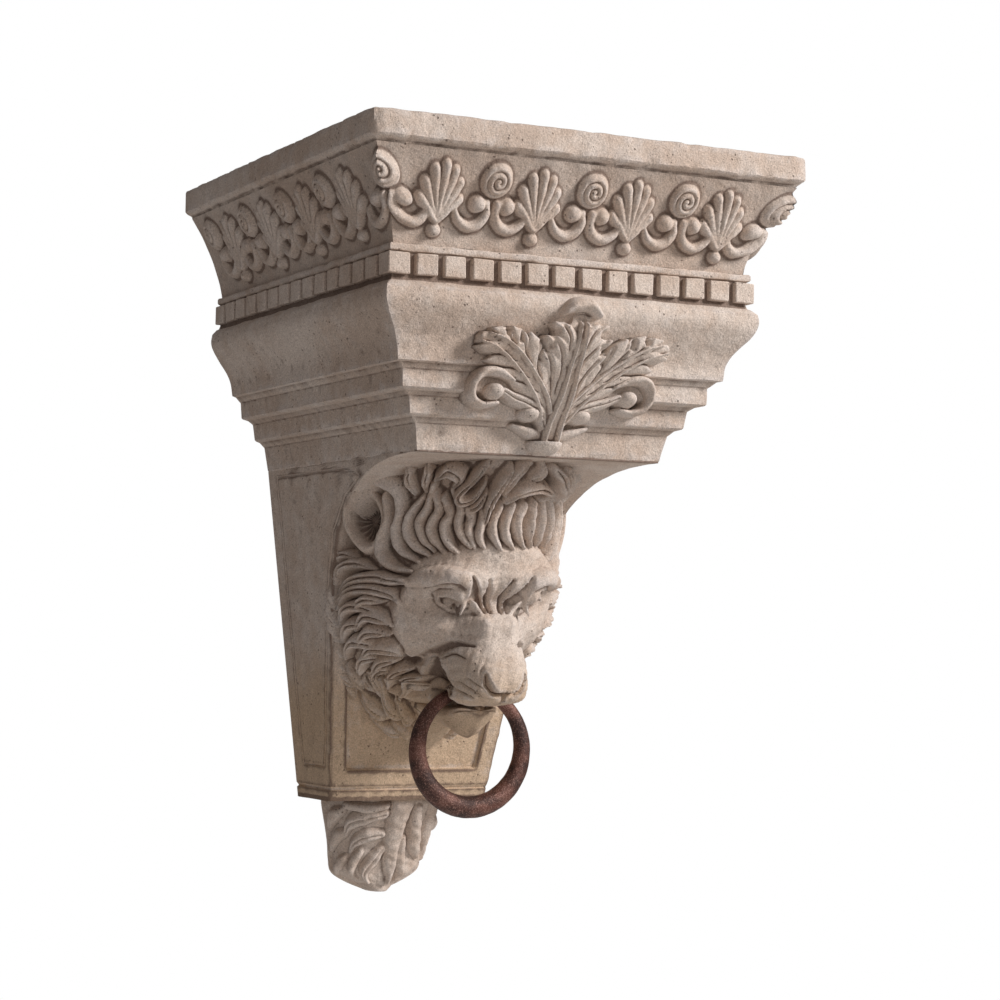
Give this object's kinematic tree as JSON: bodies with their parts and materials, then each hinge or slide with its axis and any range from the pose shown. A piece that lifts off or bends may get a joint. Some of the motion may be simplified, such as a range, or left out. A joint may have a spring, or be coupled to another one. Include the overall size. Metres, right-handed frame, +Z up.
{
  "type": "wall bracket",
  "caption": "Moulded wall bracket shelf on a tapered pier, with palmette frieze, dentils, leaf spray and a lion head holding a hanging iron ring.",
  "frame": {"origin": "on the flat back at the wall, on the middle line, level with the underside of the moulded shelf", "axes": "+X to the right seen from the front, +Y into the wall, +Z up; the shelf and the lion face -Y"},
  "size_m": [0.3512, 0.3677, 0.5654],
  "materials": {
    "stone": "weathered matt cast stone with pits and dust in the hollows",
    "iron": "dark brown rusted iron, speckled"
  },
  "bodies": {
    "bracket": {"bracket": "stone"},
    "ring": {"ring": "iron"}
  },
  "joints": [
    {"name": "ring_swing", "type": "hinge", "parent": "bracket", "child": "ring", "pos_m": [0, -0.1746, -0.1724], "axis": [-1, 0, 0], "range_deg": [-4, 34]}
  ]
}
